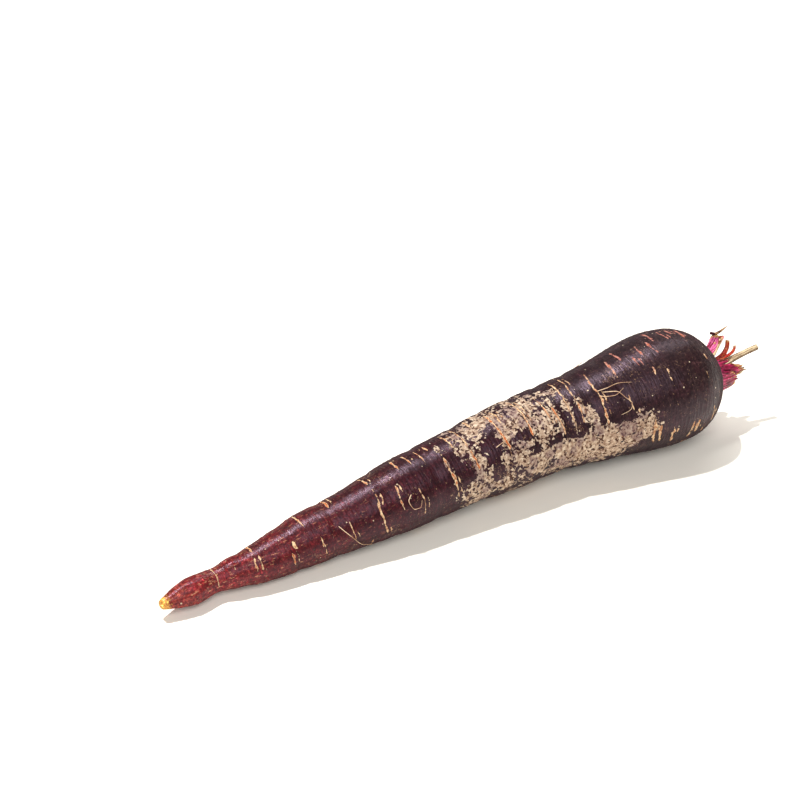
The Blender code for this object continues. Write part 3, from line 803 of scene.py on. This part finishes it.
def with_scuffs(skin, tone, place, along):
    """Pale scuffs and scratches along the skin, stronger towards the thin end."""
    near_thin_end = skin.step(along, *SCUFFS_SHOW)
    scuffs = skin.noise(skin.stretched(place, (0.3, 1.3, 1.3)), roughness=0.65)
    scuffed = skin.times(skin.step(scuffs, 0.54, 0.66), near_thin_end)
    tone = skin.tinted(tone, (2.2, 4.0, 3.8), scuffed)
    scratches = skin.noise(skin.stretched(place, (0.35, 1.6, 1.6)), detail=3, roughness=0.6)
    scratched = skin.times(skin.step(scratches, 0.62, 0.66), near_thin_end)
    return skin.mix(scratched, tone, SCRATCH)


def with_crumbs(skin, tone, place):
    """Straw-coloured crumbs and fibres, and pale dots."""
    crumbs = skin.noise(place, 1.25, detail=3, roughness=0.6, distortion=1.5)
    dirty = skin.noise(place, 0.1, detail=3)
    marks = skin.step(skin.plus(crumbs, skin.times(dirty, 0.6)), 0.98, 1.03)
    for turn, rarity in FIBRES:
        marks = skin.math("MAXIMUM", marks, skin.fibres(place, turn, rarity))
    tone = skin.mix(marks, tone, CRUMB)
    dots = skin.node("ShaderNodeTexVoronoi", {"Vector": place, "Scale": 0.34})
    large = skin.node("ShaderNodeSeparateColor", {0: dots.outputs["Color"]}).outputs[0]
    away = skin.math("SUBTRACT", dots.outputs["Distance"], skin.times(large, 0.1))
    return skin.mix(skin.step(away, 0.015, -0.01), tone, DOT)


def with_cork(skin, tone, place):
    """Corky russet skin with rough edges, holes and flakes, with where it is and how far it stands up."""
    field = skin.attribute("russet")
    coarse = skin.wobble(place, 0.3, gain=3.0, detail=3, roughness=0.5)
    fine = skin.wobble(place, 0.8, gain=2.6, detail=2, roughness=0.5)
    edge = skin.times(skin.plus(coarse, fine), skin.step(field, 0.0, 0.35))
    reached = skin.plus(field, edge)
    # Painted shade: the skin just round each russet patch is darkened, as if shaded by its raised edge.
    tone = skin.tinted(tone, (0.5, 0.45, 0.42), skin.step(reached, 0.3, 0.4))
    holes = skin.noise(place, 0.6, detail=2, roughness=0.5, distortion=0.6)
    russet = skin.times(skin.step(reached, 0.42, 0.445), skin.step(holes, 0.66, 0.645))
    flaky = skin.noise(place, 0.8, roughness=0.65)
    cork = skin.ramp(flaky, CORK_TONES)
    pits = skin.noise(place, 0.85, detail=2, roughness=0.5)
    cork = skin.mix(skin.step(pits, 0.57, 0.59), cork, CORK_PIT)
    film = skin.step(skin.noise(place, 0.14, detail=2), 0.52, 0.6)
    cork = skin.mix(skin.times(film, 0.5), cork, CORK_FILM)
    return skin.mix(russet, tone, cork), russet, skin.times(russet, skin.plus(1.2, flaky))


def with_scars(skin, tone, place, along, upward, grain):
    """Ring scars with straw lips, pink ones on top of the shoulder, and an orange slit."""
    lip, core = skin.attribute("lip"), skin.attribute("core")
    # Painted shade: the skin beside the raised lips and hairlines is darkened, as if shaded by them.
    tone = skin.tinted(tone, (0.5, 0.42, 0.4), skin.step(lip, 0.1, 0.4))
    lips = skin.step(skin.plus(lip, skin.wobble(place, 0.5, gain=2.2, detail=3)), 0.5, 0.7)
    pale = skin.step(grain, 0.42, 0.58)
    pink = skin.times(skin.step(along, *LIPS_TURN_PINK), skin.step(upward, *PINK_ABOVE_AXIS))
    lip_tone = skin.mix(skin.times(pink, 0.9), skin.mix(pale, *STRAW_LIP), skin.mix(pale, *PINK_LIP))
    tone = skin.mix(lips, tone, lip_tone)
    slit = skin.step(skin.plus(core, skin.wobble(place, 0.5, gain=2.0, detail=2)), 0.54, 0.72)
    return skin.mix(slit, tone, ORANGE_SLIT), lips


def skin_material():
    skin = Nodes("carrot_skin")
    place = skin.attribute("straight", "Vector")
    along, _, upward = skin.node("ShaderNodeSeparateXYZ", {0: place}).outputs
    mottle = skin.noise(place, 0.45, detail=7, roughness=0.7)
    grain = skin.noise(place, 0.95, detail=6, roughness=0.75)
    lines = skin.noise(skin.stretched(place, (1.6, 0.2, 0.2)), detail=3, roughness=0.6)

    tone = bare_skin(skin, place, along, grain, mottle, lines)
    tone = with_scuffs(skin, tone, place, along)
    tone = with_crumbs(skin, tone, place)
    tone, russet, raised = with_cork(skin, tone, place)
    tone, lips = with_scars(skin, tone, place, along, upward, grain)

    height = skin.plus(skin.times(skin.noise(place, 0.7, detail=2), 0.3), skin.times(lines, 1.2))
    height = skin.plus(height, raised)
    skin.set(Base_Color=tone, Normal=skin.bump(height, distance=0.2, strength=1.0))
    dry = skin.math("MAXIMUM", skin.times(russet, CORK_ROUGHNESS), skin.times(lips, LIP_ROUGHNESS))
    grazing = skin.node("ShaderNodeLayerWeight", {"Blend": 0.5}).outputs["Facing"]
    matt = skin.times(skin.step(grazing, 0.5, 0.85), GRAZING_ROUGHNESS)
    fresh = skin.plus(skin.plus(FRESH_ROUGHNESS, matt), skin.times(mottle, MOTTLE_ROUGHNESS))
    skin.set(Roughness=skin.math("MAXIMUM", dry, fresh))
    skin.set(Specular_IOR_Level=SKIN_SHINE, Specular_Tint=SKIN_SHINE_TINT)
    return skin.material


def leaf_material(name, foot, body, shade, rim=None):
    """Fleshy leaf tissue, streaked along its length, with a dried edge where it was torn."""
    leaf = Nodes(name)
    place = leaf.attribute("strand", "Vector")
    grown = leaf.attribute("grown")
    streaks = leaf.noise(leaf.stretched(place, (1.3, 0.25, 1.0)), roughness=0.65)
    tone = leaf.mix(leaf.step(grown, 0.0, 0.5), foot, body)
    tone = leaf.mix(leaf.step(streaks, 0.48, 0.58), tone, shade)
    pale = leaf.noise(leaf.stretched(place, (1.9, 0.4, 1.7)), detail=3, roughness=0.6)
    tone = leaf.mix(leaf.step(pale, 0.58, 0.7), tone, leaf.tinted(foot, (1.6, 1.5, 1.5)))
    across = leaf.plus(leaf.attribute("across"), leaf.wobble(place, 0.6, gain=1.5))
    tone = leaf.mix(leaf.step(across, 0.4, 0.6), tone, rim or tone)
    dried = leaf.step(leaf.plus(grown, leaf.wobble(place, 0.7, gain=1.3)), 0.84, 0.98)
    edge = leaf.mix(leaf.step(streaks, 0.42, 0.58), *TORN_EDGE)
    tone = leaf.mix(dried, tone, edge)
    height = leaf.plus(streaks, pale)
    leaf.set(Base_Color=tone, Normal=leaf.bump(height, distance=0.15, strength=0.8))
    leaf.set(Roughness=leaf.plus(FLESHY_ROUGHNESS, leaf.times(dried, DRIED_ROUGHNESS)))
    leaf.set(Specular_IOR_Level=FLESHY_SHINE)
    return leaf.material


def dry_material(name, pale, dark, end=None):
    """Dried, fibrous plant tissue: straw-like, husk-like or hair-like, with painted shade in its hollow.
    """
    dry = Nodes(name)
    place = dry.attribute("strand", "Vector")
    streaks = dry.noise(dry.stretched(place, (1.3, 0.16, 1.0)), roughness=0.65)
    tone = dry.mix(dry.step(streaks, 0.46, 0.54), pale, dark)
    grown = dry.attribute("grown")
    tone = dry.mix(dry.step(grown, 0.45, 0.7), tone, end or tone)
    # Painted shade in the hollow of the cut end.
    tone = dry.mix(dry.step(grown, 1.4, 1.6), tone, HOLLOW_PAINTED_SHADE)
    dry.set(Base_Color=tone, Normal=dry.bump(streaks, distance=0.15, strength=0.9))
    dry.set(Roughness=DRY_ROUGHNESS, Specular_IOR_Level=DRY_SHINE)
    return dry.material


def look_at(thing, target):
    thing.rotation_euler = (Vector(target) - thing.location).to_track_quat("-Z", "Y").to_euler()


def add_light(name, location, target, size, power, length=None):
    lamp = bpy.data.lights.new(name, "AREA")
    lamp.shape = "RECTANGLE" if length else "DISK"
    lamp.size = length or size
    lamp.size_y = size
    lamp.energy = power
    light = bpy.data.objects.new(name, lamp)
    bpy.context.scene.collection.objects.link(light)
    light.location = location
    look_at(light, target)


def add_camera():
    azimuth, elevation = math.radians(CAMERA_AZIMUTH), math.radians(CAMERA_ELEVATION)
    level = math.cos(elevation)
    away = Vector((math.sin(azimuth) * level, -math.cos(azimuth) * level, math.sin(elevation)))
    lens = bpy.data.cameras.new("camera")
    lens.lens = LENS
    lens.sensor_width = SENSOR
    camera = bpy.data.objects.new("camera", lens)
    bpy.context.scene.collection.objects.link(camera)
    camera.location = Vector(CAMERA_TARGET) + away * CAMERA_AWAY
    look_at(camera, CAMERA_TARGET)
    bpy.context.scene.camera = camera


def add_floor():
    mesh = bpy.data.meshes.new("floor")
    corners = [(x * FLOOR_HALF, y * FLOOR_HALF, 0) for x, y in ((-1, -1), (1, -1), (1, 1), (-1, 1))]
    mesh.from_pydata(corners, [], [(0, 1, 2, 3)])
    floor = bpy.data.objects.new("floor", mesh)
    bpy.context.scene.collection.objects.link(floor)
    plain = Nodes("floor")
    plain.set(Base_Color=FLOOR_COLOUR, Roughness=FLOOR_ROUGHNESS)
    mesh.materials.append(plain.material)


def add_world():
    world = bpy.data.worlds.new("studio")
    bpy.context.scene.world = world
    world.use_nodes = True
    background = world.node_tree.nodes["Background"]
    background.inputs["Color"].default_value = (1, 1, 1, 1)
    background.inputs["Strength"].default_value = SKY_STRENGTH


def main():
    root, shift = add_root()
    root.data.materials.append(skin_material())
    add_crown(shift)
    add_rootlets(shift)
    add_camera()
    add_floor()
    add_world()
    for name, settings in LIGHTS.items():
        add_light(name, *settings)
    bpy.context.scene.view_settings.view_transform = "Standard"


main()
